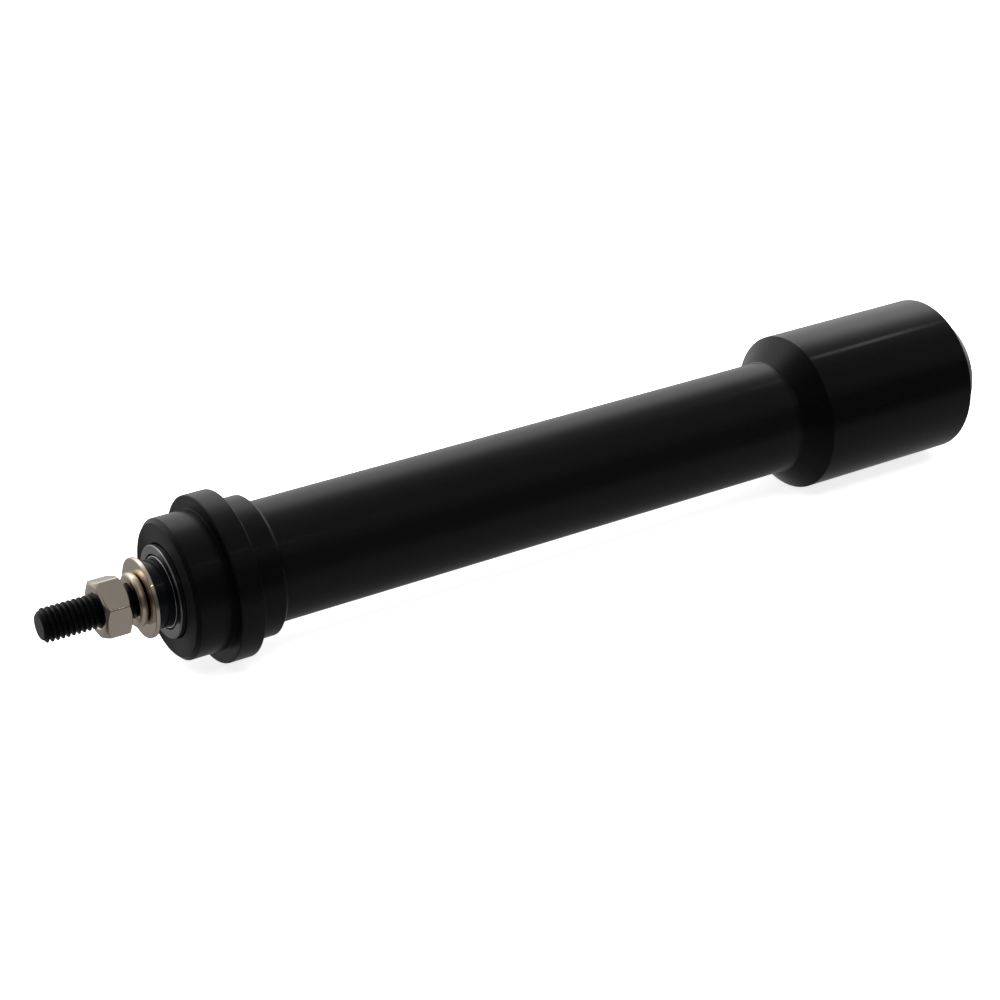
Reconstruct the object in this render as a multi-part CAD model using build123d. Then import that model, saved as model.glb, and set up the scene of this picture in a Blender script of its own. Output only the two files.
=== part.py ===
"""Two-stage telescopic hydraulic cylinder with a nose flange and a threaded rod end.

Everything turned lies on the X axis. +X is the way the stages extend and +Z is up. The origin is on the
axis, at the front face of the mounting flange. All sizes are in millimetres.
"""
from build123d import *
import os

# ---- driving dimensions -------------------------------------------------------------------------
# gland head: nose spigot, mounting flange and rear collar
NOSE_D, NOSE_LENGTH, NOSE_CHAMFER = 33.4, 9.3, 1.0
FLANGE_D, FLANGE_THICK = 39.8, 6.0
COLLAR_D, COLLAR_LENGTH, COLLAR_CHAMFER = 33.6, 7.6, 1.0
EDGE_BREAK = 0.3

# barrel and base
BARREL_D, BARREL_BORE = 29.0, 25.0
BARREL_FRONT, BARREL_REAR = -2.0, -204.0
BASE_D, BASE_FRONT, BASE_REAR = 40.4, -161.2, -213.0
BASE_LIP, BASE_CONE_LENGTH = 0.2, 5.8
PLUG_D, PLUG_FLANGE_D, PLUG_PROUD, PLUG_CHAMFER = 27.0, 29.0, 5.8, 0.3
PORT_R, PORT_DEPTH = 5.72, 11.0            # G1/4 thread, bored at its minor diameter
SPANNER_HOLE_R, SPANNER_HOLE_PCD, SPANNER_HOLE_DEPTH = 1.6, 19.0, 4.0

# first stage: the ground steel sleeve
STAGE_D, STAGE_BORE = 22.0, 19.0
STAGE_FRONT, STAGE_REAR = 10.7, -185.0
STAGE_PISTON_LENGTH = 12.0
STAGE_TRAVEL = 168.0

# second stage: the plunger rod and its threaded end
ROD_D = 16.0
ROD_FRONT, ROD_REAR = 14.7, -164.0
ROD_SPIGOT_R, ROD_SPIGOT_LENGTH = 5.0, 12.0
STUD_R, STUD_PITCH_R = 4.0, 3.8            # M8: major radius where free, pitch radius where engaged
STUD_TIP, STUD_CHAMFER, STUD_ENGAGED = 39.8, 1.1, 12.0
ROD_TRAVEL = 138.0

# rod-end fasteners; angles are from +Y towards +Z
NUT_AF, NUT_HEIGHT, NUT_CORNER_ANGLE = 13.0, 6.5, 22.5
WASHER_D, WASHER_THICK = 18.9, 1.2
LOCK_D, LOCK_BORE, LOCK_THICK, LOCK_RISE = 12.8, 8.3, 2.0, 0.25
LOCK_SPLIT, LOCK_SPLIT_AT = 15.0, -105.0   # degrees: width of the split, and where it lies
NUT_SLACK = 1.65                           # how far the nut stands off the lock washer

# clearances, radial unless said otherwise
RUNNING = 0.04                             # guide on a sliding surface
SEAL_GAP = 0.03                            # seal lip on a sliding surface
STOP_GAP = 1.0                             # axial, left at full extension
FACE_GAP = 0.05                            # axial, between loose fasteners

NOSE_R, FLANGE_R, COLLAR_R = NOSE_D / 2, FLANGE_D / 2, COLLAR_D / 2
BARREL_R, BORE_R, BASE_R, PLUG_R = BARREL_D / 2, BARREL_BORE / 2, BASE_D / 2, PLUG_D / 2
STAGE_R, STAGE_BORE_R, ROD_R = STAGE_D / 2, STAGE_BORE / 2, ROD_D / 2
COLLAR_REAR = -FLANGE_THICK - COLLAR_LENGTH
PLUG_REAR, PLUG_FLANGE_R = BASE_REAR - PLUG_PROUD, PLUG_FLANGE_D / 2

# internal lands and grooves of the gland head, as (rear x, front x, radius)
BUSH_POCKET = (BARREL_FRONT, 0.0, 14.0)
STAGE_SEAL_GROOVE = (0.8, 4.6, 13.5)
STAGE_WIPER_GROOVE = (5.6, 8.4, 13.3)
HEAD_ORING_GROOVE = (-8.6, -6.4, 15.4)
BASE_ORING_GROOVE = (-172.0, -169.8, 15.4)
HEAD_LAND_R = STAGE_R + 0.2
STAGE_BUSH_REAR = -16.0

# internal lands and grooves of the first stage's head
ROD_WIPER_POCKET = (8.3, STAGE_FRONT, 8.9)
ROD_SEAL_GROOVE = (3.4, 6.0, 9.6)
STAGE_HEAD_SHOULDER, STAGE_HEAD_REAR = -2.0, -14.0
ROD_LAND_R = ROD_R + 0.2
ROD_BUSH_REAR = -24.0
SCRAPER_R, SCRAPER_BORE_R, SCRAPER_THICK = 8.45, 8.1, 0.5

# end plug
PLUG_SHOULDER, PLUG_NOSE = -204.0, -198.0
PLUG_ORING_GROOVE = (-202.2, -199.8, 11.5)
OIL_WAY_R = 3.0

# set screw that locks the base on the barrel, at the underside
SCREW_X, SCREW_R, SCREW_TOP, SCREW_TIP = -198.0, 2.0, 19.9, 14.6
SCREW_SOCKET_AF, SCREW_SOCKET_DEPTH = 2.0, 2.0


# ---- helpers ------------------------------------------------------------------------------------
def turned(*profile):
    """A solid of revolution about X from (x, radius) points, closed by its last edge."""
    with BuildPart() as made:
        with BuildSketch(Plane.XY):
            with BuildLine():
                Polyline(*profile, close=True)
            make_face()
        revolve(axis=Axis.X)
    return made.part


def ring(rear, front, inner, outer, break_edge=0.0):
    """A plain ring on X, with its outer edges broken if asked."""
    b = break_edge
    if b:
        return turned((rear, inner), (rear, outer - b), (rear + b, outer),
                      (front - b, outer), (front, outer - b), (front, inner))
    return turned((rear, inner), (rear, outer), (front, outer), (front, inner))


def soft_ring(rear, front, inner, outer):
    """A rubber ring with every edge rounded."""
    body = ring(rear, front, inner, outer)
    return fillet(body.edges(), min(front - rear, outer - inner) * 0.3)


def in_groove(groove, inner, side=0.08, under=0.05):
    """A seal in its groove: (rear x, front x, groove radius), down to the given inner radius."""
    rear, front, groove_r = groove
    return soft_ring(rear + side, front - side, inner, groove_r - under)


# ---- barrel, head and base ----------------------------------------------------------------------
def gland_head():
    """Nose spigot, flange and collar in one turned piece, with the seal grooves inside."""
    e = EDGE_BREAK
    outside = [
        (NOSE_LENGTH, HEAD_LAND_R), (NOSE_LENGTH, NOSE_R - NOSE_CHAMFER), (NOSE_LENGTH - NOSE_CHAMFER, NOSE_R),
        (0, NOSE_R), (0, FLANGE_R - e), (-e, FLANGE_R),
        (-FLANGE_THICK + e, FLANGE_R), (-FLANGE_THICK, FLANGE_R - e), (-FLANGE_THICK, COLLAR_R),
        (COLLAR_REAR + COLLAR_CHAMFER, COLLAR_R), (COLLAR_REAR, COLLAR_R - COLLAR_CHAMFER),
        (COLLAR_REAR, BARREL_R),
    ]
    o_rear, o_front, o_r = HEAD_ORING_GROOVE
    s_rear, s_front, s_r = STAGE_SEAL_GROOVE
    w_rear, w_front, w_r = STAGE_WIPER_GROOVE
    b_rear, b_front, b_r = BUSH_POCKET
    inside = [
        (o_rear, BARREL_R), (o_rear, o_r), (o_front, o_r), (o_front, BARREL_R),
        (b_rear, BARREL_R), (b_rear, b_r), (b_front, b_r), (b_front, HEAD_LAND_R),
        (s_rear, HEAD_LAND_R), (s_rear, s_r), (s_front, s_r), (s_front, HEAD_LAND_R),
        (w_rear, HEAD_LAND_R), (w_rear, w_r), (w_front, w_r), (w_front, HEAD_LAND_R),
    ]
    return turned(*outside, *inside)


def barrel_tube():
    return ring(BARREL_REAR, BARREL_FRONT, BORE_R, BARREL_R, break_edge=EDGE_BREAK)


def stage_guide_bush():
    """Flanged bush in the barrel's mouth. Its rear face is the first stage's stop."""
    rear, front, flange_r = BUSH_POCKET
    inner = STAGE_R + RUNNING
    return turned((STAGE_BUSH_REAR, inner), (STAGE_BUSH_REAR, BORE_R), (rear, BORE_R),
                  (rear, flange_r), (front, flange_r), (front, inner))


def base_housing():
    """Heavy end of the cylinder, coned down to the barrel, bored for the barrel and the end plug."""
    cone_end, lip_r, c = BASE_FRONT - BASE_CONE_LENGTH, BARREL_R + BASE_LIP, EDGE_BREAK
    o_rear, o_front, o_r = BASE_ORING_GROOVE
    body = turned(
        (BASE_FRONT, BARREL_R), (BASE_FRONT, lip_r), (cone_end, BASE_R), (BASE_REAR + c, BASE_R),
        (BASE_REAR, BASE_R - c), (BASE_REAR, PLUG_R), (PLUG_SHOULDER, PLUG_R), (PLUG_SHOULDER, BARREL_R),
        (o_rear, BARREL_R), (o_rear, o_r), (o_front, o_r), (o_front, BARREL_R),
    )
    hole = Plane((SCREW_X, 0, -BARREL_R + 1), z_dir=(0, 0, -1)) * Cylinder(
        SCREW_R, BASE_R, align=(Align.CENTER, Align.CENTER, Align.MIN))
    return body - hole


def end_plug():
    """Zinc-plated flanged plug screwed into the base, with the oil port and two holes for a pin spanner."""
    g_rear, g_front, g_r = PLUG_ORING_GROOVE
    c, nose_r, port_end = PLUG_CHAMFER, BORE_R - 0.05, PLUG_REAR + PORT_DEPTH
    body = turned(
        (PLUG_NOSE, OIL_WAY_R), (PLUG_NOSE, nose_r), (g_front, nose_r), (g_front, g_r), (g_rear, g_r),
        (g_rear, nose_r), (PLUG_SHOULDER, nose_r), (PLUG_SHOULDER, PLUG_R), (BASE_REAR, PLUG_R),
        (BASE_REAR, PLUG_FLANGE_R), (PLUG_REAR + c, PLUG_FLANGE_R), (PLUG_REAR, PLUG_FLANGE_R - c),
        (PLUG_REAR, PORT_R), (port_end, PORT_R), (port_end, OIL_WAY_R),
    )
    for side in (-1, 1):
        mouth = Plane((PLUG_REAR, side * SPANNER_HOLE_PCD / 2, 0), z_dir=(1, 0, 0))
        body -= mouth * Cylinder(SPANNER_HOLE_R, SPANNER_HOLE_DEPTH,
                                 align=(Align.CENTER, Align.CENTER, Align.MIN))
    return body


def base_set_screw():
    """Cup-point set screw with a hexagon socket, below the barrel."""
    length = SCREW_TOP - SCREW_TIP
    tip = Plane((SCREW_X, 0, -SCREW_TIP), z_dir=(0, 0, -1))
    body = tip * Cylinder(SCREW_R, length, align=(Align.CENTER, Align.CENTER, Align.MIN))
    socket = extrude(RegularPolygon(SCREW_SOCKET_AF / 2, 6, major_radius=False), SCREW_SOCKET_DEPTH)
    return body - tip * Pos(0, 0, length - SCREW_SOCKET_DEPTH) * socket


# ---- first stage --------------------------------------------------------------------------------
def stage_tube():
    return ring(STAGE_REAR, STAGE_HEAD_SHOULDER, STAGE_BORE_R, STAGE_R)


def stage_head():
    """Front end of the first stage: holds the rod's seal, wiper and scraper."""
    e = EDGE_BREAK
    p_rear, p_front, p_r = ROD_WIPER_POCKET
    s_rear, s_front, s_r = ROD_SEAL_GROOVE
    return turned(
        (STAGE_HEAD_REAR, ROD_LAND_R), (STAGE_HEAD_REAR, STAGE_BORE_R), (STAGE_HEAD_SHOULDER, STAGE_BORE_R),
        (STAGE_HEAD_SHOULDER, STAGE_R), (STAGE_FRONT - e, STAGE_R), (STAGE_FRONT, STAGE_R - e),
        (p_front, p_r), (p_rear, p_r), (p_rear, ROD_LAND_R),
        (s_front, ROD_LAND_R), (s_front, s_r), (s_rear, s_r), (s_rear, ROD_LAND_R),
    )


def rod_wiper():
    """Rubber wiper in the stage head's front pocket, stepped back under the scraper ring."""
    rear, front, pocket_r = ROD_WIPER_POCKET
    step = front - SCRAPER_THICK
    return turned((rear, ROD_R + SEAL_GAP), (rear, pocket_r), (step, pocket_r), (step, ROD_R + SEAL_GAP))


def scraper_ring():
    front = ROD_WIPER_POCKET[1]
    return ring(front - SCRAPER_THICK, front, SCRAPER_BORE_R, SCRAPER_R)


def stage_piston():
    """Rear guide of the first stage, open in the middle so that oil reaches the rod."""
    rear, outer = STAGE_REAR - STAGE_PISTON_LENGTH, BORE_R - RUNNING - 0.06
    groove_rear, groove_front, groove_r = rear + 3.0, STAGE_REAR - 3.0, 11.3
    spigot = STAGE_REAR + 8.0
    return turned(
        (rear, OIL_WAY_R + 2), (rear, outer), (groove_rear, outer), (groove_rear, groove_r),
        (groove_front, groove_r), (groove_front, outer), (STAGE_REAR, outer), (STAGE_REAR, STAGE_BORE_R),
        (spigot, STAGE_BORE_R), (spigot, OIL_WAY_R + 2),
    )


def stage_wear_ring():
    rear = STAGE_REAR - STAGE_PISTON_LENGTH + 3.0
    return ring(rear + 0.1, STAGE_REAR - 3.1, 11.3, BORE_R - RUNNING)


# ---- second stage and its fasteners -------------------------------------------------------------
def plunger_rod():
    """Solid plunger, necked at the rear for its piston and bored at the front for the stud."""
    e, spigot_rear = 0.4, ROD_REAR - ROD_SPIGOT_LENGTH
    hole_end = ROD_FRONT - STUD_ENGAGED
    ring_rear, ring_front, ring_r = spigot_rear + 0.8, spigot_rear + 2.0, ROD_SPIGOT_R - 0.6
    return turned(
        (spigot_rear, 0), (spigot_rear, ROD_SPIGOT_R), (ring_rear, ROD_SPIGOT_R), (ring_rear, ring_r),
        (ring_front, ring_r), (ring_front, ROD_SPIGOT_R), (ROD_REAR, ROD_SPIGOT_R), (ROD_REAR, ROD_R),
        (ROD_FRONT - e, ROD_R), (ROD_FRONT, ROD_R - e), (ROD_FRONT, STUD_PITCH_R),
        (hole_end, STUD_PITCH_R), (hole_end, 0),
    )


def rod_piston():
    """Piston on the plunger's neck, up against the shoulder. Its front face is the rod's stop."""
    rear, outer = ROD_REAR - ROD_SPIGOT_LENGTH + 2.0, STAGE_BORE_R - RUNNING - 0.06
    groove_rear, groove_front, groove_r = rear + 2.5, ROD_REAR - 2.5, 8.4
    return turned(
        (rear, ROD_SPIGOT_R), (rear, outer), (groove_rear, outer), (groove_rear, groove_r),
        (groove_front, groove_r), (groove_front, outer), (ROD_REAR, outer), (ROD_REAR, ROD_SPIGOT_R),
    )


def rod_wear_ring():
    rear = ROD_REAR - ROD_SPIGOT_LENGTH + 4.5
    return ring(rear + 0.1, ROD_REAR - 2.6, 8.4, STAGE_BORE_R - RUNNING)


def rod_retaining_ring():
    """Open spring ring in the plunger's rear groove."""
    rear = ROD_REAR - ROD_SPIGOT_LENGTH + 0.8
    gap = Pos(rear + 0.6, 0, 0) * Box(3, 4, 20, align=(Align.CENTER, Align.CENTER, Align.MIN))
    return ring(rear + 0.05, rear + 1.15, ROD_SPIGOT_R - 0.6, ROD_SPIGOT_R + 1.6) - gap


def threaded_stud():
    """M8 rod end. The thread is plain: pitch radius in the rod and nut, major radius where it is free."""
    step = nut_rear() + NUT_HEIGHT + 1.5 * FACE_GAP
    return turned(
        (ROD_FRONT - STUD_ENGAGED, 0), (ROD_FRONT - STUD_ENGAGED, STUD_PITCH_R), (step, STUD_PITCH_R),
        (step, STUD_R), (STUD_TIP - STUD_CHAMFER, STUD_R), (STUD_TIP, STUD_R - STUD_CHAMFER), (STUD_TIP, 0),
    )


def flat_washer():
    rear = ROD_FRONT + FACE_GAP
    return ring(rear, rear + WASHER_THICK, STUD_R + 0.2, WASHER_D / 2, break_edge=0.2)


def nut_rear():
    """Where the nut's rear face stands: run back a little from the lock washer."""
    return ROD_FRONT + WASHER_THICK + LOCK_THICK + LOCK_RISE + NUT_SLACK + 3 * FACE_GAP


def lock_washer():
    """Split spring washer, a single left-hand coil of square section, set nearly flat by use."""
    inner, outer = LOCK_BORE / 2, LOCK_D / 2
    middle = (inner + outer) / 2
    pitch = LOCK_RISE * 360 / (360 - LOCK_SPLIT)
    path = Helix(pitch=pitch, height=LOCK_RISE, radius=middle, lefthand=True)
    start = Plane(origin=path @ 0, x_dir=(1, 0, 0), z_dir=(0, 1, 0))
    coil = sweep(start * Rectangle(outer - inner, LOCK_THICK), path, is_frenet=True)
    rear = ROD_FRONT + WASHER_THICK + 2 * FACE_GAP
    start_angle = 90 + LOCK_SPLIT_AT - LOCK_SPLIT / 2
    return Pos(rear + LOCK_THICK / 2, 0, 0) * Rot(0, 90, 0) * Rot(0, 0, start_angle) * coil


def hex_nut():
    """Plain hexagon nut, chamfered and countersunk at both ends."""
    rear = nut_rear()
    front, corner_r = rear + NUT_HEIGHT, NUT_AF / 3 ** 0.5
    flat_r = NUT_AF / 2 - 0.6
    drop = (corner_r - flat_r) * 0.58
    mouth_r, bore_r = STUD_R + 0.4, STUD_PITCH_R + 0.08
    sink = mouth_r - bore_r
    envelope = turned(
        (rear, mouth_r), (rear, flat_r), (rear + drop, corner_r), (front - drop, corner_r), (front, flat_r),
        (front, mouth_r), (front - sink, bore_r), (rear + sink, bore_r),
    )
    hexagon = extrude(RegularPolygon(NUT_AF / 2, 6, major_radius=False, rotation=90), NUT_HEIGHT)
    return envelope & (Pos(rear, 0, 0) * Rot(NUT_CORNER_ANGLE, 0, 0) * Rot(0, 90, 0) * hexagon)


# ---- the nodes ----------------------------------------------------------------------------------
def nodes():
    """Every sub-part by its name."""
    o_rear, o_front, o_r = PLUG_ORING_GROOVE
    return {
        "gland_head": gland_head(),
        "barrel_tube": barrel_tube(),
        "stage_guide_bush": stage_guide_bush(),
        "stage_seal": in_groove(STAGE_SEAL_GROOVE, STAGE_R + SEAL_GAP),
        "stage_wiper": in_groove(STAGE_WIPER_GROOVE, STAGE_R + SEAL_GAP),
        "head_oring": in_groove(HEAD_ORING_GROOVE, BARREL_R + 0.02),
        "base_housing": base_housing(),
        "base_oring": in_groove(BASE_ORING_GROOVE, BARREL_R + 0.02),
        "end_plug": end_plug(),
        "plug_oring": soft_ring(o_rear + 0.1, o_front - 0.1, o_r + 0.02, BORE_R - 0.02),
        "base_set_screw": base_set_screw(),
        "stage_tube": stage_tube(),
        "stage_head": stage_head(),
        "rod_guide_bush": ring(ROD_BUSH_REAR, STAGE_HEAD_REAR, ROD_R + RUNNING, STAGE_BORE_R),
        "rod_seal": in_groove(ROD_SEAL_GROOVE, ROD_R + SEAL_GAP),
        "rod_wiper": rod_wiper(),
        "scraper_ring": scraper_ring(),
        "stage_piston": stage_piston(),
        "stage_wear_ring": stage_wear_ring(),
        "plunger_rod": plunger_rod(),
        "rod_piston": rod_piston(),
        "rod_wear_ring": rod_wear_ring(),
        "rod_retaining_ring": rod_retaining_ring(),
        "threaded_stud": threaded_stud(),
        "flat_washer": flat_washer(),
        "lock_washer": lock_washer(),
        "hex_nut": hex_nut(),
    }


def check_travels():
    """Both stages stop clear of their bushes at full extension."""
    assert STAGE_REAR + STAGE_TRAVEL + STOP_GAP <= STAGE_BUSH_REAR
    assert ROD_REAR + ROD_TRAVEL + STOP_GAP <= ROD_BUSH_REAR


if __name__ == "__main__":
    check_travels()
    os.makedirs("parts", exist_ok=True)
    for name, shape in nodes().items():
        export_step(shape, f"parts/{name}.step")
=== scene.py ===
"""Looks of the two-stage telescopic hydraulic cylinder. Lengths are in millimetres until a mesh is made."""
import math

import bmesh
import bpy
from mathutils import Matrix, Vector


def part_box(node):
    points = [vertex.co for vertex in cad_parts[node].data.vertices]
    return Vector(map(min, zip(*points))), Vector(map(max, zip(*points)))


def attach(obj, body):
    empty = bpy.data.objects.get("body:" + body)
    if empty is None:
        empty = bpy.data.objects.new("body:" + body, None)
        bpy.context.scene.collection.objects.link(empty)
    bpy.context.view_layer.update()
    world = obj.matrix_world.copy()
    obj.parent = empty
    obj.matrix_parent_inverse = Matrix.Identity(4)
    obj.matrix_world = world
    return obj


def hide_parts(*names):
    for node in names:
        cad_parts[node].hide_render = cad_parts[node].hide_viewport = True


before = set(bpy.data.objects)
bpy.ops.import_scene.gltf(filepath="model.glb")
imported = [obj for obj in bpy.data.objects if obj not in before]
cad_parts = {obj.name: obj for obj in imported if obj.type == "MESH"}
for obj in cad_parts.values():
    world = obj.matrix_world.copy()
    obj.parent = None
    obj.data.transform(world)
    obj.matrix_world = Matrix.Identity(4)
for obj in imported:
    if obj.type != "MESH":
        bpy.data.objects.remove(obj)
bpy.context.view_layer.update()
MM = 0.001

# ---- sizes shared with the CAD parts, in millimetres ---------------------------------------------
NOSE_R, FLANGE_R, COLLAR_R = 16.7, 19.9, 16.8
NOSE_FRONT, FLANGE_REAR, COLLAR_REAR, HEAD_CHAMFER = 9.3, -6.0, -13.6, 1.0
HEAD_LAND_R, BUSH_POCKET_R = 11.2, 14.0
BARREL_R, BORE_R = 14.5, 12.5
BARREL_FRONT, BARREL_REAR = -2.0, -204.0
BASE_R, BASE_FRONT, CONE_END, BASE_REAR, BASE_EDGE = 20.2, -161.2, -167.0, -213.0, 0.15
BASE_LIP, BASE_FILLET, BASE_LAP = 0.03, 1.6, 1.0      # where the cone meets the tube
PLUG_R, PLUG_NOSE, PLUG_SHOULDER, PLUG_REAR = 13.5, -198.0, -204.0, -218.8
PLUG_FLANGE_R, PLUG_CHAMFER, OIL_WAY_R = 14.5, 0.3, 3.0
PORT_R, PORT_MAJOR_R, PORT_PITCH, PORT_DEPTH = 5.72, 6.58, 1.337, 11.0
PORT_LINER, PORT_MOUTH_DEPTH, PORT_MOUTH_RISE = 0.6, 1.2, 0.25
SPANNER_R, SPANNER_OFFSET, SPANNER_DEPTH = 1.6, 9.5, 4.0
SCREW_X, SCREW_R = -198.0, 2.0
STAGE_R, STAGE_BORE_R, STAGE_FRONT = 11.0, 9.5, 10.7
STAGE_JOINT, STAGE_HEAD_REAR, STAGE_TUBE_REAR = -2.0, -14.0, -185.0
ROD_R, ROD_LAND_R, ROD_FRONT, ROD_REAR = 8.0, 8.2, 14.7, -164.0
ROD_NECK_R, ROD_NECK_REAR, ROD_HOLE_END = 5.0, -176.0, 2.7
LIP_GAP = 0.03                                        # between the wiper's lip and the rod
POCKET_R, POCKET_REAR = 8.9, 8.3
SCRAPER_OUT_R, SCRAPER_IN_R, SCRAPER_REAR = 8.45, 8.1, 10.2
STUD_R, STUD_ROOT_R, STUD_TIP, STUD_PITCH, STUD_CHAMFER = 4.0, 3.25, 39.8, 1.25, 1.1
NUT_FLAT, NUT_CORNER_ANGLE, NUT_BORE_R, NUT_MOUTH_R = 6.5, 22.5, 4.03, 4.4
NUT_CHAMFER_IN, NUT_CHAMFER_DROP = 0.6, 1.05          # starts this far inside the flats; falls this far
LOCK_THICK, LOCK_RISE, LOCK_SPLIT, LOCK_SPLIT_AT = 2.0, 0.25, 15.0, -105.0
LOCK_IN_R, LOCK_OUT_R, LOCK_EDGE = 4.15, 6.4, 0.85
WASHER_IN_R, WASHER_OUT_R = 4.2, 9.45
FLOOR_Z = -BASE_R - 0.2

# grooves, as (rear x, front x, radius of the floor)
HEAD_ORING_GROOVE = (-8.6, -6.4, 15.4)
STAGE_SEAL_GROOVE = (0.8, 4.6, 13.5)
STAGE_WIPER_GROOVE = (5.6, 8.4, 13.3)
BASE_ORING_GROOVE = (-172.0, -169.8, 15.4)
PLUG_ORING_GROOVE = (-202.2, -199.8, 11.5)
ROD_SEAL_GROOVE = (3.4, 6.0, 9.6)
ROD_RING_GROOVE = (ROD_NECK_REAR + 0.8, ROD_NECK_REAR + 2.0, ROD_NECK_R - 0.6)


def x_span(node):
    """Rear and front of a CAD node along the axis, in millimetres."""
    low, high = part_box(node)
    return low.x / MM, high.x / MM


# ---- mesh making --------------------------------------------------------------------------------
def polar(x, r, angle):
    """A point from its place along X, radius and angle from +Y towards +Z, in metres."""
    return Vector((x, r * math.cos(angle), r * math.sin(angle))) * MM


def groove(place, wall_r, forward=True):
    """The four corners of a groove in a wall, from its rear to its front or back again."""
    rear, front, floor_r = place
    corners = [(rear, wall_r), (rear, floor_r), (front, floor_r), (front, wall_r)]
    return corners if forward else corners[::-1]


def rounded(outline, steps=4, hold=0.08):
    """(x, r, edge radius) corners to (x, r) points, with arcs and a holding point beside each arc."""
    corners = [(p[0], p[1], p[2] if len(p) > 2 else 0.0) for p in outline]
    count, points = len(corners), []
    for i, (x, r, radius) in enumerate(corners):
        here = Vector((x, r))
        if radius <= 0:
            points.append(here)
            continue
        before = Vector(corners[i - 1][:2]) - here
        after = Vector(corners[(i + 1) % count][:2]) - here
        room = 0.45 * min(before.length, after.length)
        before.normalize()
        after.normalize()
        half = before.angle(after) / 2
        reach = min(radius / math.tan(half), room)
        radius = reach * math.tan(half)
        centre = here + (before + after).normalized() * (radius / math.sin(half))
        first, last = here + before * reach, here + after * reach
        if room > reach + 2 * hold:
            points.append(first + before * hold)
        for k in range(steps + 1):
            points.append(centre + (first - centre).slerp(last - centre, k / steps) * radius)
        if room > reach + 2 * hold:
            points.append(last + after * hold)
    return [(p.x, p.y) for p in points]


def new_piece(name, mesh, body, replaced=(), sharp=32):
    """A shaded object that rides on a body and stands for CAD nodes."""
    mesh.validate()
    mesh.shade_smooth()
    mesh.set_sharp_from_angle(angle=math.radians(sharp))
    piece = bpy.data.objects.new(name, mesh)
    bpy.context.scene.collection.objects.link(piece)
    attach(piece, body)
    if replaced:
        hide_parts(*replaced)
    return piece


def mesh_from(name, points, faces):
    mesh = bpy.data.meshes.new(name)
    mesh.from_pydata(points, [], faces)
    work = bmesh.new()
    work.from_mesh(mesh)
    bmesh.ops.remove_doubles(work, verts=work.verts, dist=1e-8)
    bmesh.ops.dissolve_degenerate(work, dist=1e-8, edges=work.edges)
    bmesh.ops.recalc_face_normals(work, faces=work.faces)
    work.to_mesh(mesh)
    work.free()
    return mesh


def lathe_mesh(name, outline, segments=192, start=0.0, shape=None):
    """Turns a closed outline about X. shape(x, r, angle) may give another radius at each point."""
    rows, points, faces = len(outline), [], []
    for i in range(segments):
        angle = start + math.tau * i / segments
        for x, r in outline:
            radius = shape(x, r, angle) if shape else r
            points.append(polar(x, radius, angle))
    for i in range(segments):
        here, there = i * rows, ((i + 1) % segments) * rows
        for j in range(rows):
            k = (j + 1) % rows
            on_axis = outline[j][1] < 1e-6 and outline[k][1] < 1e-6
            if not on_axis:
                faces.append((here + j, here + k, there + k, there + j))
    return mesh_from(name, points, faces)


def cut(mesh, name, *tools):
    """The mesh less some closed tool meshes."""
    body = bpy.data.objects.new(name + "_cutting", mesh)
    bpy.context.scene.collection.objects.link(body)
    helpers = [body]
    for tool in tools:
        helper = bpy.data.objects.new(name + "_tool", tool)
        bpy.context.scene.collection.objects.link(helper)
        helpers.append(helper)
        difference = body.modifiers.new("cut", "BOOLEAN")
        difference.operation, difference.solver, difference.object = "DIFFERENCE", "EXACT", helper
    bpy.context.view_layer.update()
    result = bpy.data.meshes.new_from_object(body.evaluated_get(bpy.context.evaluated_depsgraph_get()))
    result.name = name
    for helper in helpers:
        bpy.data.objects.remove(helper)
    return result


def drill_mesh(name, centre, direction, radius, length, sides=48):
    """A plain closed cylinder, for cutting a hole. It starts at centre and goes along direction."""
    axis = Vector(direction).normalized()
    side = axis.orthogonal().normalized()
    other = axis.cross(side)
    points = []
    for depth in (0.0, length):
        for i in range(sides):
            a = math.tau * i / sides
            outward = side * math.cos(a) + other * math.sin(a)
            points.append((Vector(centre) + axis * depth + outward * radius) * MM)
    faces = [tuple(range(sides - 1, -1, -1)), tuple(range(sides, 2 * sides))]
    faces += [(i, (i + 1) % sides, sides + (i + 1) % sides, sides + i) for i in range(sides)]
    return mesh_from(name, points, faces)


def thread_mesh(name, rear, front, pitch, crest_r, root_r, limit, back_r, segments=96):
    """A helical 60-degree thread from rear to front.

    limit(x, r) gives the radius after the chamfer at the thread's end. back_r is 0 for a solid stud, or
    the radius of the sleeve's outer wall for an inside thread.
    """
    flat, flank, ease = 1 / 8, 5 / 16, 0.06
    shape = [(0.0, 1.0), (flat, 1.0), (flat + flank * 0.5, 0.5), (flat + flank, ease),
             (flat + flank + ease, 0.0), (1 - flank - ease, 0.0), (1 - flank, ease), (1 - flank * 0.5, 0.5)]
    rows_per_turn = len(shape)
    turns = math.ceil((front - rear) / pitch) + 2
    rows = turns * rows_per_turn
    points, faces, reached = [], [], []
    for i in range(segments + 1):
        angle = math.tau * i / segments
        for j in range(rows):
            turn, k = divmod(j, rows_per_turn)
            along, height = shape[k]
            x = rear + pitch * (turn - 1 + along + i / segments)
            x = min(max(x, rear), front)
            r = limit(x, root_r + (crest_r - root_r) * height)
            points.append(polar(x, r, angle))
            reached.append(x)
    for i in range(segments):
        for j in range(rows - 1):
            ring_a, ring_b = i * rows, (i + 1) * rows
            corner = (ring_a + j, ring_a + j + 1, ring_b + j + 1, ring_b + j)
            spread = [reached[c] for c in corner]
            if max(spread) - min(spread) > 1e-9:
                faces.append(corner)
    mesh = mesh_from(name, points, faces)
    close_ends(mesh, rear, front, back_r)
    return mesh


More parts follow.
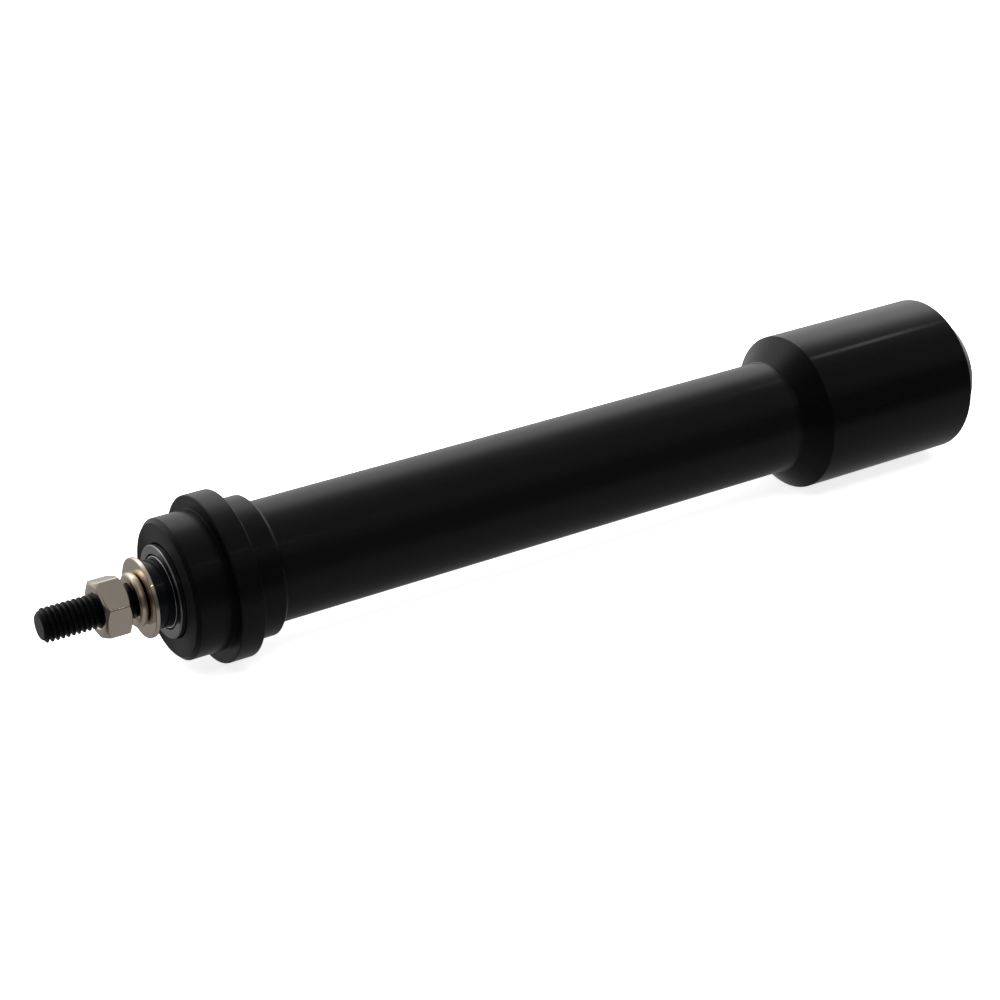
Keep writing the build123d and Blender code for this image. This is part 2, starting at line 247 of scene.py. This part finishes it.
def close_ends(mesh, rear, front, back_r):
    """Caps a thread's two open ends: with discs, or with a sleeve round the outside."""
    work = bmesh.new()
    work.from_mesh(mesh)
    open_edges = [e for e in work.edges if e.is_boundary]
    middle = (rear + front) / 2 * MM
    if back_r:
        for x in (rear, front):
            rim = sorted({v for e in open_edges for v in e.verts if abs(v.co.x - x * MM) < 1e-7},
                         key=lambda v: math.atan2(v.co.z, v.co.y))
            outer = [work.verts.new(polar(x, back_r, math.atan2(v.co.z, v.co.y))) for v in rim]
            for n, v in enumerate(rim):
                m = (n + 1) % len(rim)
                work.faces.new((v, rim[m], outer[m], outer[n]))
        wall = [e for e in work.edges if e.is_boundary]
        bmesh.ops.bridge_loops(work, edges=wall)
    else:
        for ahead in (True, False):
            rim = [e for e in open_edges if (e.verts[0].co.x > middle) == ahead]
            bmesh.ops.contextual_create(work, geom=rim)
    bmesh.ops.recalc_face_normals(work, faces=work.faces)
    work.to_mesh(mesh)
    work.free()


# ---- material making ----------------------------------------------------------------------------
class Graph:
    """Short names for adding nodes to one node tree."""

    def __init__(self, tree):
        self.tree = tree

    def node(self, kind, **settings):
        made = self.tree.nodes.new(kind)
        for key, value in settings.items():
            setattr(made, key, value)
        return made

    def link(self, source, target):
        self.tree.links.new(source, target)

    def math(self, operation, *values):
        made = self.node("ShaderNodeMath", operation=operation)
        for socket, value in zip(made.inputs, values):
            if isinstance(value, (int, float)):
                socket.default_value = value
            else:
                self.link(value, socket)
        return made.outputs[0]

    def vector(self, x, y, z):
        made = self.node("ShaderNodeCombineXYZ")
        for socket, value in zip(made.inputs, (x, y, z)):
            self.link(value, socket)
        return made.outputs[0]

    def split(self, vector):
        made = self.node("ShaderNodeSeparateXYZ")
        self.link(vector, made.inputs[0])
        return made.outputs

    def noise(self, where, scale=1.0, detail=2.0, rough=0.5):
        made = self.node("ShaderNodeTexNoise")
        self.link(where, made.inputs["Vector"])
        made.inputs["Scale"].default_value = scale
        made.inputs["Detail"].default_value = detail
        made.inputs["Roughness"].default_value = rough
        return made.outputs["Fac"]

    def span(self, value, low, high, to_low, to_high):
        made = self.node("ShaderNodeMapRange")
        self.link(value, made.inputs["Value"])
        for key, number in zip(("From Min", "From Max", "To Min", "To Max"), (low, high, to_low, to_high)):
            made.inputs[key].default_value = number
        return made.outputs["Result"]

    def mix(self, factor, first, second):
        made = self.node("ShaderNodeMix", data_type="RGBA")
        self.link(factor, made.inputs["Factor"])
        for socket, value in ((made.inputs["A"], first), (made.inputs["B"], second)):
            if isinstance(value, tuple):
                socket.default_value = (*value, 1)
            else:
                self.link(value, socket)
        return made.outputs["Result"]

    def bump(self, height, distance, strength=1.0, under=None):
        made = self.node("ShaderNodeBump")
        made.inputs["Distance"].default_value = distance
        made.inputs["Strength"].default_value = strength
        self.link(height, made.inputs["Height"])
        if under:
            self.link(under, made.inputs["Normal"])
        return made.outputs["Normal"]


class Painter(Graph):
    """A graph for one material, with the object's own coordinates at hand."""

    def __init__(self, name):
        self.material = bpy.data.materials.new(name)
        self.material.use_nodes = True
        super().__init__(self.material.node_tree)
        self.shader = self.tree.nodes["Principled BSDF"]
        self.place = self.node("ShaderNodeTexCoord").outputs["Object"]
        self.x, y, z = self.split(self.place)
        squares = self.math("ADD", self.math("MULTIPLY", y, y), self.math("MULTIPLY", z, z))
        self.radius = self.math("SQRT", squares)
        self.cos, self.sin = self.math("DIVIDE", y, self.radius), self.math("DIVIDE", z, self.radius)

    def turning(self, per_mm, wander=1.2):
        """Lathe marks: rings on outside walls and faces alike, slightly uneven round the part."""
        along = self.math("ADD", self.math("MULTIPLY", self.x, 830 * per_mm),
                          self.math("MULTIPLY", self.radius, 1270 * per_mm))
        return self.noise(self.vector(along, self.math("MULTIPLY", self.cos, wander),
                                      self.math("MULTIPLY", self.sin, wander)), detail=1.5)

    def streaks(self, around, per_mm):
        """Lines that run along the axis, as on drawn or polished bar."""
        return self.noise(self.vector(self.math("MULTIPLY", self.x, 1000 * per_mm),
                                      self.math("MULTIPLY", self.cos, around),
                                      self.math("MULTIPLY", self.sin, around)), detail=3.0)

    def tangent(self):
        """Highlights that stretch across circular lathe marks."""
        made = self.node("ShaderNodeTangent", direction_type="RADIAL", axis="X")
        self.link(made.outputs[0], self.shader.inputs["Tangent"])
        self.set(turn=0.25)

    def set(self, **values):
        names = {"color": "Base Color", "metallic": "Metallic", "roughness": "Roughness",
                 "level": "Specular IOR Level", "aniso": "Anisotropic", "turn": "Anisotropic Rotation",
                 "normal": "Normal"}
        for key, value in values.items():
            socket = self.shader.inputs[names[key]]
            if isinstance(value, bpy.types.NodeSocket):
                self.link(value, socket)
            elif isinstance(value, tuple):
                socket.default_value = (*value, 1)
            else:
                socket.default_value = value


def head_black():
    """Matt black anodised head with plain turning marks, duller on its front face."""
    p = Painter("head_black")
    marks, blotch = p.turning(6.0), p.noise(p.place, 180, 3)
    face = p.span(p.x, (NOSE_FRONT - 0.12) * MM, (NOSE_FRONT - 0.04) * MM, 0.0, 1.0)
    plain = p.mix(blotch, (0.0008, 0.0008, 0.0009), (0.0014, 0.0014, 0.0014))
    p.set(color=p.mix(face, plain, (0.005, 0.005, 0.0049)), level=0.17, aniso=0.85,
          roughness=p.math("ADD", p.span(marks, 0.3, 0.7, 0.2, 0.26), p.math("MULTIPLY", face, 0.2)))
    p.tangent()
    p.set(normal=p.bump(marks, 0.000008, 0.3))
    return p.material


def barrel_black():
    """Semi-gloss black tube, smooth, with faint lines along it."""
    p = Painter("barrel_black")
    lines, blotch = p.streaks(160, 0.008), p.noise(p.place, 90, 4)
    p.set(color=p.mix(blotch, (0.0014, 0.0014, 0.0015), (0.0022, 0.0022, 0.0023)), level=0.17,
          roughness=p.span(blotch, 0.3, 0.7, 0.15, 0.21))
    p.set(normal=p.bump(lines, 0.000004, 0.3))
    return p.material


def base_black():
    """Semi-gloss black base: fine turning marks under faint scuffs along the axis."""
    p = Painter("base_black")
    marks, lines, blotch = p.turning(7.0), p.streaks(90, 0.03), p.noise(p.place, 70, 4)
    p.set(color=p.mix(lines, (0.0006, 0.0006, 0.0007), (0.0014, 0.0014, 0.0014)), level=0.17, aniso=0.6,
          roughness=p.span(blotch, 0.35, 0.65, 0.09, 0.16))
    p.tangent()
    p.set(normal=p.bump(lines, 0.000003, 0.2, p.bump(marks, 0.000003, 0.2)))
    return p.material


def machined(name, low, high, rough, marks_per_mm, aniso, metallic=1.0):
    """A bare or plated metal, or a plastic, with lathe marks and slightly uneven colour."""
    p = Painter(name)
    marks = p.turning(marks_per_mm)
    tarnish = p.noise(p.place, 320, 4, 0.6)
    p.set(color=p.mix(tarnish, low, high), metallic=metallic, aniso=aniso,
          roughness=p.span(marks, 0.3, 0.7, rough * 0.85, rough * 1.2))
    p.tangent()
    p.set(normal=p.bump(marks, 0.000006, 0.4))
    return p.material


def nickel(name, turned):
    """Warm bright nickel plate, slightly wavy. Turned pieces keep their lathe marks."""
    p = Painter(name)
    wave, smear = p.noise(p.place, 700, 2), p.noise(p.place, 420, 4)
    p.set(color=p.mix(smear, (0.67, 0.58, 0.465), (0.745, 0.655, 0.545)), metallic=1.0,
          roughness=p.span(smear, 0.3, 0.7, 0.08, 0.16))
    under = p.bump(wave, 0.00003, 0.25)
    if turned:
        p.tangent()
        p.set(aniso=0.35)
        under = p.bump(p.turning(5.0), 0.000008, 0.3, under)
    p.set(normal=under)
    return p.material


def rod_black():
    """Polished black rod."""
    p = Painter("rod_black")
    lines, haze = p.turning(5.0), p.noise(p.place, 240, 4)
    p.set(color=p.mix(haze, (0.0008, 0.0010, 0.0018), (0.0012, 0.0014, 0.0024)), level=0.2,
          roughness=p.span(haze, 0.3, 0.7, 0.12, 0.2))
    p.set(normal=p.bump(lines, 0.000003, 0.2))
    return p.material


def oxide_black():
    """Dull black oxide, painted lighter grey on the thread crests as a highlight with some wear, and lighter
    grey on the tip face.
    """
    p = Painter("oxide_black")
    grain = p.noise(p.place, 2600, 4, 0.6)
    # Painted highlight with some wear: the thread crests are made lighter grey than the black roots; the tip
    # face is lighter grey too.
    crest = p.span(p.radius, (STUD_R - 0.18) * MM, STUD_R * MM, 0.0, 1.0)
    tip = p.span(p.x, (STUD_TIP - 0.12) * MM, (STUD_TIP - 0.04) * MM, 0.0, 1.0)
    crest_wear_highlight_and_tip = p.math("MAXIMUM", p.math("MULTIPLY", crest, p.math("MULTIPLY", grain, 0.12)), tip)
    p.set(color=p.mix(crest_wear_highlight_and_tip, (0.0010, 0.0010, 0.0012), (0.013, 0.013, 0.013)), level=0.16,
          roughness=p.span(grain, 0.3, 0.7, 0.25, 0.42))
    p.set(normal=p.bump(grain, 0.00001, 0.3))
    return p.material


def rubber():
    """Dull black seal rubber with a fine grain."""
    p = Painter("rubber")
    grain = p.noise(p.place, 3000, 3)
    p.set(color=p.mix(grain, (0.006, 0.006, 0.006), (0.011, 0.011, 0.011)), level=0.3,
          roughness=p.span(grain, 0.3, 0.7, 0.5, 0.7))
    p.set(normal=p.bump(grain, 0.00002, 0.3))
    return p.material


MATERIALS = {
    "head": head_black(),
    "barrel": barrel_black(),
    "base": base_black(),
    "rod": rod_black(),
    "oxide": oxide_black(),
    "rubber": rubber(),
    "nickel": nickel("nickel", False),
    "nickel_turned": nickel("nickel_turned", True),
    "steel": machined("ground_steel", (0.24, 0.24, 0.235), (0.32, 0.32, 0.31), 0.14, 8.0, 0.4),
    "bright": machined("bright_steel", (0.70, 0.70, 0.69), (0.80, 0.80, 0.78), 0.15, 6.0, 0.4),
    "zinc": machined("zinc", (0.66, 0.71, 0.76), (0.78, 0.82, 0.85), 0.42, 5.0, 0.5),
    "bronze": machined("bronze", (0.42, 0.25, 0.10), (0.55, 0.36, 0.17), 0.35, 6.0, 0.4),
    "plastic": machined("bearing_plastic", (0.16, 0.10, 0.05), (0.24, 0.16, 0.09), 0.5, 6.0, 0.2, 0.0),
}


def paint(piece, finish):
    piece.data.materials.clear()
    piece.data.materials.append(MATERIALS[finish])


def turned(name, outline, body, slot, finish, replaced=(), segments=192):
    """A painted piece, turned about the axis from an outline with rounded corners."""
    mesh = lathe_mesh(name, rounded(outline), segments)
    paint(new_piece(name, mesh, body, replaced), finish)


# ---- barrel, head and base ----------------------------------------------------------------------
def make_head():
    turned("gland_head_shell", [
        (NOSE_FRONT, HEAD_LAND_R, 0.12), (NOSE_FRONT, NOSE_R - HEAD_CHAMFER, 0.15),
        (NOSE_FRONT - HEAD_CHAMFER, NOSE_R, 0.15), (0.0, NOSE_R, 0.1), (0.0, FLANGE_R, 0.35),
        (FLANGE_REAR, FLANGE_R, 0.35), (FLANGE_REAR, COLLAR_R, 0.1),
        (COLLAR_REAR + HEAD_CHAMFER, COLLAR_R, 0.2), (COLLAR_REAR, COLLAR_R - HEAD_CHAMFER, 0.15),
        (COLLAR_REAR, BARREL_R, 0.05), *groove(HEAD_ORING_GROOVE, BARREL_R), (BARREL_FRONT, BARREL_R),
        (BARREL_FRONT, BUSH_POCKET_R), (0.0, BUSH_POCKET_R), (0.0, HEAD_LAND_R),
        *groove(STAGE_SEAL_GROOVE, HEAD_LAND_R), *groove(STAGE_WIPER_GROOVE, HEAD_LAND_R),
    ], "barrel", "black_anodised", "head", ["gland_head"], 256)


def make_barrel():
    turned("barrel_tube_shell", [
        (BARREL_FRONT, BORE_R, 0.1), (BARREL_FRONT, BARREL_R, 0.3), (BARREL_REAR, BARREL_R, 0.3),
        (BARREL_REAR, BORE_R, 0.1),
    ], "barrel", "black_anodised", "barrel", ["barrel_tube"], 256)


def make_base():
    """The coned housing: its front feathers out along the tube, then sweeps up into the cone."""
    outline = rounded([
        (BASE_FRONT + BASE_LAP, BARREL_R), (BASE_FRONT + BASE_LAP, BARREL_R + 0.01),
        (BASE_FRONT, BARREL_R + BASE_LIP, BASE_FILLET), (CONE_END, BASE_R, 0.3),
        (BASE_REAR + BASE_EDGE, BASE_R, 0.05), (BASE_REAR, BASE_R - BASE_EDGE, 0.05), (BASE_REAR, PLUG_R),
        (PLUG_SHOULDER, PLUG_R), (PLUG_SHOULDER, BARREL_R), *groove(BASE_ORING_GROOVE, BARREL_R),
    ])
    hole = drill_mesh("screw_hole", (SCREW_X, 0, -BARREL_R + 1), (0, 0, -1), SCREW_R, 10)
    mesh = cut(lathe_mesh("base_solid", outline, 256), "base_housing_shell", hole)
    paint(new_piece("base_housing_shell", mesh, "barrel", ["base_housing"]), "base")


def make_end_plug():
    """The flanged plug, and its port thread as a liner with a countersunk mouth."""
    nose, port_end, liner_r = BORE_R - 0.05, PLUG_REAR + PORT_DEPTH, PORT_MAJOR_R + PORT_LINER
    outline = rounded([
        (PLUG_NOSE, OIL_WAY_R), (PLUG_NOSE, nose, 0.2), *groove(PLUG_ORING_GROOVE, nose, forward=False),
        (PLUG_SHOULDER, nose), (PLUG_SHOULDER, PLUG_R), (BASE_REAR, PLUG_R), (BASE_REAR, PLUG_FLANGE_R),
        (PLUG_REAR + PLUG_CHAMFER, PLUG_FLANGE_R, 0.1), (PLUG_REAR, PLUG_FLANGE_R - PLUG_CHAMFER, 0.1),
        (PLUG_REAR, liner_r), (port_end, liner_r), (port_end, OIL_WAY_R),
    ])
    holes = [drill_mesh("spanner_hole", (PLUG_REAR - 1, side * SPANNER_OFFSET, 0), (1, 0, 0),
                        SPANNER_R, SPANNER_DEPTH + 1) for side in (-1, 1)]
    mesh = cut(lathe_mesh("plug_solid", outline, 192), "end_plug_shell", *holes)
    paint(new_piece("end_plug_shell", mesh, "barrel", ["end_plug"]), "zinc")

    def limit(x, r):
        depth = x - PLUG_REAR
        countersink_r = PORT_MAJOR_R + PORT_MOUTH_RISE - depth
        return max(r, countersink_r) if depth < PORT_MOUTH_DEPTH else r

    root_r = PORT_MAJOR_R - 0.02
    liner = thread_mesh("port_thread", PLUG_REAR, port_end, PORT_PITCH, PORT_R, root_r, limit, liner_r)
    paint(new_piece("port_thread", liner, "barrel"), "zinc")


# ---- first stage --------------------------------------------------------------------------------
def make_stage():
    turned("stage_tube_shell", [
        (STAGE_TUBE_REAR, STAGE_BORE_R), (STAGE_TUBE_REAR, STAGE_R), (STAGE_JOINT, STAGE_R, 0.02),
        (STAGE_JOINT, STAGE_BORE_R),
    ], "stage", "ground_steel", "steel", ["stage_tube"], 224)
    turned("stage_head_shell", [
        (STAGE_HEAD_REAR, ROD_LAND_R), (STAGE_HEAD_REAR, STAGE_BORE_R), (STAGE_JOINT, STAGE_BORE_R),
        (STAGE_JOINT, STAGE_R, 0.02), (STAGE_FRONT, STAGE_R, 0.3), (STAGE_FRONT, POCKET_R, 0.15),
        (POCKET_REAR, POCKET_R), (POCKET_REAR, ROD_LAND_R),
        *groove(ROD_SEAL_GROOVE, ROD_LAND_R, forward=False),
    ], "stage", "ground_steel", "steel", ["stage_head"], 224)
    turned("rod_wiper_lip", [
        (POCKET_REAR, ROD_R + LIP_GAP), (POCKET_REAR, POCKET_R), (SCRAPER_REAR, POCKET_R, 0.1),
        (SCRAPER_REAR, ROD_R + LIP_GAP, 0.05),
    ], "stage", "seal_rubber", "rubber", ["rod_wiper"])
    turned("scraper_ring_edge", [
        (SCRAPER_REAR, SCRAPER_IN_R), (SCRAPER_REAR, SCRAPER_OUT_R), (STAGE_FRONT, SCRAPER_OUT_R, 0.1),
        (STAGE_FRONT, SCRAPER_IN_R, 0.1),
    ], "stage", "bright_steel", "bright", ["scraper_ring"])


# ---- rod and fasteners --------------------------------------------------------------------------
def make_rod():
    turned("plunger_rod_bar", [
        (ROD_NECK_REAR, 0.0), (ROD_NECK_REAR, ROD_NECK_R, 0.3), *groove(ROD_RING_GROOVE, ROD_NECK_R),
        (ROD_REAR, ROD_NECK_R), (ROD_REAR, ROD_R, 0.2), (ROD_FRONT, ROD_R, 0.4), (ROD_FRONT, STUD_R, 0.1),
        (ROD_HOLE_END, STUD_R), (ROD_HOLE_END, 0.0),
    ], "rod", "black_rod", "rod", ["plunger_rod"], 192)


def make_stud():
    def limit(x, r):
        return min(r, STUD_R - STUD_CHAMFER * max(0.0, 1 - (STUD_TIP - x) / STUD_CHAMFER))

    mesh = thread_mesh("stud_thread", ROD_HOLE_END, STUD_TIP, STUD_PITCH, STUD_R, STUD_ROOT_R, limit, 0)
    paint(new_piece("stud_thread", mesh, "rod", ["threaded_stud"], 40), "oxide")


def make_flat_washer():
    rear, front = x_span("flat_washer")
    turned("flat_washer_disc", [
        (rear, WASHER_IN_R, 0.12), (rear, WASHER_OUT_R, 0.3), (front, WASHER_OUT_R, 0.3),
        (front, WASHER_IN_R, 0.12),
    ], "washer", "nickel", "nickel_turned", ["flat_washer"])


def make_lock_washer():
    """One left-hand coil of wire, flat on its faces and rounded on the outside, split at the bottom."""
    rear, _ = x_span("lock_washer")
    section = rounded([(0, LOCK_IN_R, 0.15), (0, LOCK_OUT_R, LOCK_EDGE), (LOCK_THICK, LOCK_OUT_R, LOCK_EDGE),
                       (LOCK_THICK, LOCK_IN_R, 0.15)], steps=8)
    steps, size, points, faces = 160, len(section), [], []
    sweep, start = 360 - LOCK_SPLIT, LOCK_SPLIT_AT - LOCK_SPLIT / 2
    for i in range(steps + 1):
        share = i / steps
        angle = math.radians(start - sweep * share)
        rise = LOCK_RISE * share
        points += [polar(rear + rise + x, r, angle) for x, r in section]
    for i in range(steps):
        for j in range(size):
            k = (j + 1) % size
            faces.append((i * size + j, i * size + k, (i + 1) * size + k, (i + 1) * size + j))
    faces += [tuple(range(size)), tuple(steps * size + j for j in reversed(range(size)))]
    mesh = mesh_from("lock_washer_coil", points, faces)
    paint(new_piece("lock_washer_coil", mesh, "lock", ["lock_washer"]), "nickel")


def make_nut():
    """Hexagon cut from a turned blank, so that the chamfers meet the flats in arcs."""
    rear, front = x_span("hex_nut")
    corner_angle = math.radians(NUT_CORNER_ANGLE)
    corner_r = NUT_FLAT / math.cos(math.pi / 6)
    edge_r, past_corner_r = NUT_FLAT - NUT_CHAMFER_IN, corner_r + 0.2
    sink = NUT_MOUTH_R - NUT_BORE_R
    rows, sharpness = 14, 9.0
    shares = [k / rows for k in range(rows + 1)]
    cone_front = [(front - NUT_CHAMFER_DROP * k, edge_r + (past_corner_r - edge_r) * k) for k in shares]
    cone_rear = [(rear + front - x, r) for x, r in reversed(cone_front)]
    outline = [(front, NUT_MOUTH_R), *cone_front, *cone_rear, (rear, NUT_MOUTH_R),
               (rear + sink, NUT_BORE_R), (front - sink, NUT_BORE_R)]

    def hexed(x, r, angle):
        """The smaller of the blank's radius and the hexagon's, with the corners and edges eased."""
        if r < edge_r - 0.01:
            return r
        near = [math.cos(angle - corner_angle - math.pi / 6 - k * math.pi / 3) for k in range(6)]
        walls = [NUT_FLAT / c for c in near if c > 0.3] + [r]
        return -math.log(sum(math.exp(-sharpness * w) for w in walls)) / sharpness

    mesh = lathe_mesh("hex_nut_body", outline, 720, corner_angle, hexed)
    paint(new_piece("hex_nut_body", mesh, "nut", ["hex_nut"], 40), "nickel")


def paint_kept_nodes():
    """The CAD parts that stay as they are: seals, bushes, pistons and the set screw."""
    finishes = {
        "bronze": ["stage_guide_bush", "rod_guide_bush"],
        "rubber": ["stage_seal", "stage_wiper", "head_oring", "base_oring", "plug_oring", "rod_seal"],
        "steel": ["stage_piston", "rod_piston"],
        "plastic": ["stage_wear_ring", "rod_wear_ring"],
        "oxide": ["rod_retaining_ring", "base_set_screw"],
    }
    for finish, names in finishes.items():
        for name in names:
            paint(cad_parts[name], finish)


# ---- floor, light and camera --------------------------------------------------------------------
def make_floor():
    """Pale paper, lit a little from below so that only a faint contact shadow stays."""
    half = 3.0
    mesh = bpy.data.meshes.new("floor")
    corners = [(-half, -half, 0), (half, -half, 0), (half, half, 0), (-half, half, 0)]
    mesh.from_pydata(corners, [], [(0, 1, 2, 3)])
    floor = bpy.data.objects.new("floor", mesh)
    floor.location = (0, 0, FLOOR_Z * MM)
    bpy.context.scene.collection.objects.link(floor)
    material = bpy.data.materials.new("floor_paper")
    material.use_nodes = True
    shader = material.node_tree.nodes["Principled BSDF"]
    shader.inputs["Base Color"].default_value = (0.92, 0.92, 0.92, 1)
    shader.inputs["Roughness"].default_value = 0.9
    shader.inputs["Specular IOR Level"].default_value = 0.0
    shader.inputs["Emission Color"].default_value = (1.0, 1.0, 1.0, 1)
    shader.inputs["Emission Strength"].default_value = 0.82
    mesh.materials.append(material)
    floor.visible_glossy = False


# Light from each direction round the X axis: degrees from the far horizon (0) over the top (90) to the
# near side (180), and the strength there. The bright band lies behind the object, above the horizon.
TENT = [(-180, 0.08), (-172, 0.12), (-160, 0.30), (-133, 0.30), (-90, 0.27), (-75, 0.26), (-45, 0.24),
        (-22, 0.34), (8, 1.0), (22, 1.35), (36, 1.8), (46, 1.75), (56, 1.15), (66, 0.65), (76, 0.5),
        (90, 0.36), (100, 0.28), (135, 0.28), (152, 0.10), (180, 0.08)]
FRONT_DIMMED_TO = 0.25


def tent_ramp(graph, turn, peak):
    """The tent's colour at a turn of 0 to 1, as a share of its peak."""
    node = graph.node("ShaderNodeValToRGB")
    elements = node.color_ramp.elements
    elements.remove(elements[-1])
    for n, (degrees, light) in enumerate(TENT):
        element = elements[0] if n == 0 else elements.new((degrees + 180) / 360)
        element.position = (degrees + 180) / 360
        element.color = (light / peak, light / peak, light / peak * 1.01, 1)
    graph.link(turn, node.inputs["Fac"])
    return node.outputs["Color"]


def make_world():
    """A white tent: bright behind, dim in front and below, dimmer ahead of the nose; a plain backdrop."""
    world = bpy.data.worlds.new("tent")
    bpy.context.scene.world = world
    world.use_nodes = True
    graph = Graph(world.node_tree)
    x, y, z = graph.split(graph.node("ShaderNodeTexCoord").outputs["Generated"])
    angle = graph.math("ARCTAN2", z, graph.math("MULTIPLY", y, -1.0))
    turn = graph.span(angle, -math.pi, math.pi, 0.0, 1.0)
    peak = max(light for _, light in TENT)
    tent = graph.tree.nodes["Background"]
    graph.link(tent_ramp(graph, turn, peak), tent.inputs["Color"])
    graph.link(graph.span(x, 0.45, 0.75, peak, FRONT_DIMMED_TO * peak), tent.inputs["Strength"])
    backdrop = graph.node("ShaderNodeBackground")
    backdrop.inputs["Color"].default_value = (0.97, 0.97, 0.97, 1)
    choose = graph.node("ShaderNodeMixShader")
    graph.link(graph.node("ShaderNodeLightPath").outputs["Is Camera Ray"], choose.inputs["Fac"])
    graph.link(tent.outputs[0], choose.inputs[1])
    graph.link(backdrop.outputs[0], choose.inputs[2])
    graph.link(choose.outputs[0], graph.tree.nodes["World Output"].inputs["Surface"])


def area_light(name, place, target, size, power, along=(1, 0, 0), glossy=True):
    """A rectangular lamp that faces the target, with its long side along the given direction."""
    data = bpy.data.lights.new(name, "AREA")
    data.shape, data.size, data.size_y, data.energy = "RECTANGLE", size[0], size[1], power
    lamp = bpy.data.objects.new(name, data)
    back = (Vector(place) - Vector(target)).normalized()
    up = back.cross(Vector(along)).normalized()
    facing = Matrix((up.cross(back), up, back)).transposed().to_4x4()
    lamp.matrix_world = Matrix.Translation(place) @ facing
    lamp.visible_glossy = glossy
    lamp.visible_camera = False
    bpy.context.scene.collection.objects.link(lamp)


def warm_spot():
    """A small warm lamp on the far side that picks out the washers and the front of the nose only."""
    target, towards, distance = Vector((0.02, 0.0, 0.0)), Vector((-0.323, 0.549, 0.768)), 0.6
    data = bpy.data.lights.new("warm_spot", "SPOT")
    data.color, data.energy = (1.0, 0.82, 0.45), 3.6
    data.shadow_soft_size = 0.07
    data.spot_size, data.spot_blend = math.radians(1.7), 0.9
    lamp = bpy.data.objects.new("warm_spot", data)
    lamp.location = target + towards * distance
    lamp.rotation_euler = (target - lamp.location).to_track_quat("-Z", "Y").to_euler()
    bpy.context.scene.collection.objects.link(lamp)


def make_camera():
    """The photographer's place: a long lens, well above the object and off to its front."""
    azimuth, elevation, distance = math.radians(58.16), math.radians(27.79), 0.5728
    aim = Vector((-0.0790, 0.0008, -0.0011))
    towards = Vector((math.cos(elevation) * math.cos(azimuth), math.cos(elevation) * math.sin(azimuth),
                      math.sin(elevation)))
    data = bpy.data.cameras.new("camera")
    data.sensor_width, data.lens = 36.0, 84.78
    data.clip_start = 0.01
    camera = bpy.data.objects.new("camera", data)
    camera.location = aim + towards * distance
    camera.rotation_euler = (-towards).to_track_quat("-Z", "Y").to_euler()
    bpy.context.scene.collection.objects.link(camera)
    bpy.context.scene.camera = camera


make_head()
make_barrel()
make_base()
make_end_plug()
make_stage()
make_rod()
make_stud()
make_flat_washer()
make_lock_washer()
make_nut()
paint_kept_nodes()
make_floor()
make_world()
area_light("overhead", place=(0.0, 0.0, 1.6), target=(-0.1, 0, 0), size=(2.4, 2.4), power=60, glossy=False)
area_light("streak", place=(-0.82, -0.16, 0.784), target=(-0.19, 0, 0), size=(0.15, 0.07), power=0.055,
           along=(-0.85, -0.35, -0.4))
warm_spot()
make_camera()
bpy.context.scene.view_settings.view_transform = "Standard"
